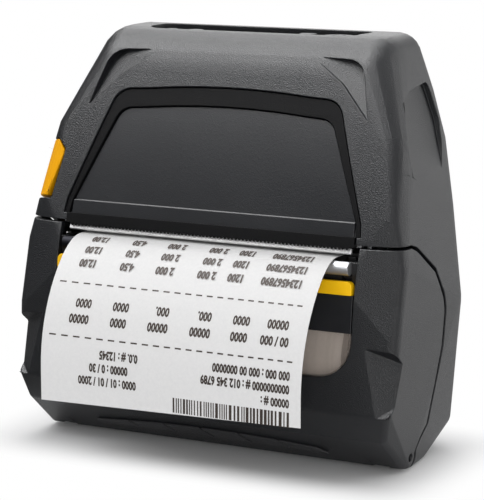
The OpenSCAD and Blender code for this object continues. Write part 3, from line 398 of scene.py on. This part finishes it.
# Roll of thermal paper on a board core: the turns show as fine rings on its ends
# and as faint streaks round its face.
def paper(name, light, dark, axis=None):
    material = bpy.data.materials.new(name)
    material.use_nodes = True
    tree = material.node_tree
    shader = tree.nodes["Principled BSDF"]
    place = object_place(tree)
    fibre = node(tree, "TexNoise", Vector=place, Scale=900.0, Detail=4.0, Roughness=0.7).outputs["Fac"]
    blend = fibre
    if axis:
        turns_per_metre, streaks_per_metre = 2600.0, 260.0
        apart = node(tree, "SeparateXYZ", Vector=place).outputs
        out_y = calc(tree, "SUBTRACT", apart["Y"], axis[0])
        out_z = calc(tree, "SUBTRACT", apart["Z"], axis[1])
        square_y, square_z = calc(tree, "MULTIPLY", out_y, out_y), calc(tree, "MULTIPLY", out_z, out_z)
        radius = calc(tree, "SQRT", calc(tree, "ADD", square_y, square_z))
        one_way = {"noise_dimensions": "1D"}
        wound = calc(tree, "MULTIPLY", radius, turns_per_metre)
        turns = node(tree, "TexNoise", one_way, W=wound, Scale=1.0, Detail=2.0).outputs["Fac"]
        drawn = calc(tree, "MULTIPLY", apart["X"], streaks_per_metre)
        streaks = node(tree, "TexNoise", one_way, W=drawn, Scale=1.0, Detail=3.0).outputs["Fac"]
        blend = calc(tree, "ADD", calc(tree, "MULTIPLY", turns, 0.45), calc(tree, "MULTIPLY", streaks, 0.55))
    colour = node(tree, "MixRGB", Fac=blend, Color1=(*dark, 1), Color2=(*light, 1))
    tree.links.new(colour.outputs[0], shader.inputs["Base Color"])
    felt = node(tree, "Bump", Strength=0.12, Distance=0.0001, Height=fibre)
    tree.links.new(felt.outputs[0], shader.inputs["Normal"])
    shader.inputs["Roughness"].default_value = 0.55
    return material


roll_centre = (0.003, 0.040)
roll_paper = paper("roll_paper", (0.88, 0.80, 0.73), (0.46, 0.39, 0.33), roll_centre)
cast("paper_roll", "media_roll", "roll", roll_paper, edge=0.0002)
core_card = paper("core_card", (0.42, 0.31, 0.20), (0.30, 0.21, 0.13), roll_centre)
cast("roll_core", "card_core", "roll", core_card, edge=0.0002)

# The printed slip: white thermal paper, out of the nip, over the bar and down the front,
# with generic rows of figures, rules and bars in brown-black. It was torn off a little aslant.
slip_paper = paper("slip_paper", (0.77, 0.765, 0.76), (0.66, 0.66, 0.665))
cast("paper_strip", "slip", "door", slip_paper, edge=0, sharp=30)

slip_start = Vector((-0.017, 0.0803))
slip_flat = 0.0075
slip_bends = ((0.014, 0, 30), (0.028, 30, 47), (0.058, 47, 90))


def on_slip(along, lift):
    at = slip_start - Vector((min(along, slip_flat), 0))
    along -= slip_flat
    if along <= 0:
        return at.x, at.y + lift
    for radius, first, last in slip_bends:
        first, last = math.radians(first), math.radians(last)
        turn = min(along / radius, last - first) + first
        at = at + radius * Vector((math.sin(first) - math.sin(turn), math.cos(turn) - math.cos(first)))
        along -= radius * (last - first)
        if along <= 0:
            return at.x - lift * math.sin(turn), at.y + lift * math.cos(turn)
    return at.x - lift, at.y - along


def line_of(text, x, along, size, narrow):
    bpy.ops.object.text_add(location=(0, 0, 0))
    row = bpy.context.object
    row.data.body, row.data.size, row.data.resolution_u = text, size, 2
    boldness = 0.045
    row.data.offset = size * boldness
    bpy.ops.object.convert(target="MESH")
    row = bpy.context.object
    for v in row.data.vertices:
        v.co = (x - v.co.x * narrow, along + v.co.y, 0)
    return row


def block(x0, x1, s0, s1):
    bpy.ops.mesh.primitive_grid_add(x_subdivisions=1, y_subdivisions=1, size=1, location=(0, 0, 0))
    patch = bpy.context.object
    for v in patch.data.vertices:
        v.co = (x0 + (v.co.x + 0.5) * (x1 - x0), s0 + (v.co.y + 0.5) * (s1 - s0), 0)
    return patch


bpy.ops.object.select_all(action="DESELECT")
mm = 0.001
marks = []
item_size, head_size, foot_size = 4.5 * mm, 4.6 * mm, 4.3 * mm
figures = (("1234567890", 47.5), ("1200", 24), ("2 000", 12.5), ("2 000", -5), ("4.50", -22), ("12.00", -38))
for along in (11.2, 17.3, 23.4):
    for text, x in figures:
        marks.append(line_of(text, x * mm, along * mm, item_size, 0.73))
# The dashes of both rules are longer and farther apart towards the left.
rule_height = 0.55
for along in (32.8, 53.1):
    for i in range(23):
        dash = 50 - i * (3.7 + 0.0345 * i)
        length = 2.1 + 0.038 * i
        marks.append(block(dash * mm, (dash - length) * mm, along * mm, (along + rule_height) * mm))
upper_heads = (("00000", 46.5), ("0000", 31), ("000.", 15.5), ("000.", -2), ("0000", -19), ("0000", -35))
lower_heads = (("00 / 000", 47.5), ("0000", 31), ("00000", 16), ("00000", -1.5), ("0000", -19),
               ("00000", -35))
for along, words in ((39.2, upper_heads), (45.2, lower_heads)):
    for text, x in words:
        marks.append(line_of(text, x * mm, along * mm, head_size, 0.73))
for along, text, x in ((57.0, "000 000 : 000 00 0000000", 49.5), (61.8, "0000000000 # : 012 345 6789", 49.5),
                       (66.8, "00000 # :", 49.5), (57.6, "0.0. # : 12345", -12.5),
                       (62.6, "00000 : 0 / 30", -16.5), (67.6, "0000 : 01 / 01 / 2000", -13.0)):
    marks.append(line_of(text, x * mm, along * mm, foot_size, 0.68))
bars_from, bars_to = 71.4, 76.9
stripe, widths = 49.5, (0.9, 0.45, 0.7, 0.45, 1.1, 0.45, 0.45, 0.9, 0.7, 0.45, 1.2, 0.45, 0.7)
for i in range(38):
    wide = widths[(i * 5 + i // 7) % 13]
    marks.append(block(stripe * mm, (stripe - wide) * mm, bars_from * mm, bars_to * mm))
    stripe -= wide + widths[(i * 3 + 4) % 13] * 0.55 + 0.2
bpy.ops.object.select_all(action="DESELECT")
for mark in marks:
    mark.select_set(True)
bpy.context.view_layer.objects.active = marks[0]
bpy.ops.object.join()
print_marks = bpy.context.object
print_marks.name = "slip_print"
# In the tight bend the ink stands a little higher, so that its long straight strokes don't sink in.
tight_until, tight_lift, flat_lift = 0.030, 0.00042, 0.00024
for v in print_marks.data.vertices:
    y, z = on_slip(v.co.y, flat_lift if v.co.y > tight_until else tight_lift)
    v.co = (v.co.x, y, z)
bpy.ops.object.mode_set(mode="EDIT")
bpy.ops.mesh.select_all(action="SELECT")
bpy.ops.mesh.normals_make_consistent(inside=False)
bpy.ops.object.mode_set(mode="OBJECT")
ink = moulding("thermal_ink", (0.022, 0.014, 0.010), (0.060, 0.044, 0.036), 0.6, 2500, 0.05, 1.5)
finish_piece(print_marks, "door", ink)

# Control panel in the top recess: a dark plate with its display and six keys.
cast("control_panel", "key_plate", "printer", tray_plastic, edge=0.0003)
key_rubber = moulding("key_plastic", (0.030, 0.030, 0.033), (0.050, 0.050, 0.054), 0.48, 2600, 0.12, 0.8)
for source, name, body in (("power_key", "on_off_key", "power_button"),
                           ("feed_key", "feed_button_cap", "feed_button"),
                           ("soft_key_front", "front_soft_cap", "soft_front"),
                           ("soft_key_back", "back_soft_cap", "soft_back"),
                           ("nav_key", "direction_ring", "nav_button"),
                           ("select_key", "centre_cap", "select_button")):
    cast(source, name, body, key_rubber, edge=0.0003)
lens = moulding("display_glass", (0.02, 0.025, 0.03), (0.03, 0.035, 0.04), 0.08, 900, 0.01, 0.5)
cast("lcd_lens", "display_lens", "printer", lens, edge=0.0002)
display_back = moulding("display_back", (0.22, 0.26, 0.20), (0.28, 0.32, 0.26), 0.4, 900, 0.02, 0.5)
cast("lcd_module", "display_panel", "printer", display_back, edge=0.0001)

# Boards: green solder mask with dark packages on the main board behind the panel.
board = moulding("board_green", (0.008, 0.085, 0.035), (0.014, 0.13, 0.055), 0.3, 1200, 0.05, 1.2)
cast("main_board", "logic_board", "printer", board, edge=0.0001)
cast("keypad_board", "key_board", "printer", board, edge=0.0001)

# Battery pack in the back, held by a sliding catch, with its spring contacts at the bottom of the bay.
pack_plastic = moulding("pack_plastic", (0.010, 0.010, 0.011), (0.022, 0.022, 0.024), 0.48, 2600, 0.3, 1.0)
cast("battery_pack", "battery", "battery", pack_plastic, edge=0.0005)
cast("battery_latch", "battery_slider", "battery_catch", key_rubber, edge=0.0002)
gilt = metal("gilt_contact", (0.90, 0.66, 0.30), 0.25)
cast("battery_contacts", "pack_contacts", "printer", gilt, edge=0.0001)

# Low on the back: the jack and the small socket behind a hinged flap, four plain screws,
# the dock contacts in the foot and two rubber feet.
cast("port_flap", "socket_flap", "flap", inner_plastic, edge=0.0002)
cast("port_sockets", "sockets", "printer", inner_plastic, edge=0.0001)
cast("dock_contacts", "foot_contacts", "printer", gilt, edge=0.0001)
screw_steel = metal("screw_steel", (0.30, 0.30, 0.31), 0.35)
cast("case_screws", "back_screws", "printer", screw_steel, edge=0.0002)
cast("rubber_feet", "feet", "printer", soft_rubber, edge=0.0004)
